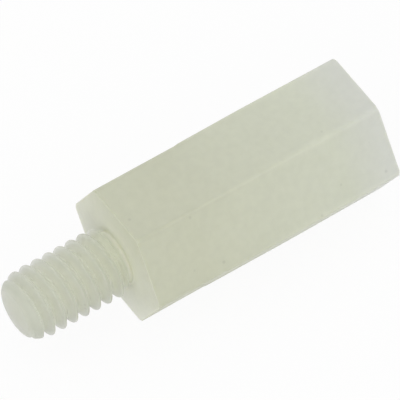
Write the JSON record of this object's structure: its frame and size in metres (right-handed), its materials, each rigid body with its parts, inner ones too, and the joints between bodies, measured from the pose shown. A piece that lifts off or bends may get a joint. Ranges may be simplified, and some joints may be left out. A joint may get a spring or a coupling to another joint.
{
  "type": "hex standoff",
  "caption": "Hexagonal standoff moulded in nylon, with a right-hand threaded stud at one end and a blind threaded bore at the other.",
  "frame": {"origin": "centre of the shoulder, the face that the stud stands on", "axes": "X along the axis, with the stud towards -X and the bored end towards +X; two of the six flats face +Z and -Z"},
  "size_m": [0.0213, 0.008, 0.007],
  "materials": {
    "nylon": "natural undyed nylon, translucent, with a soft satin sheen"
  },
  "bodies": {
    "root": {"standoff": "nylon"}
  },
  "joints": []
}
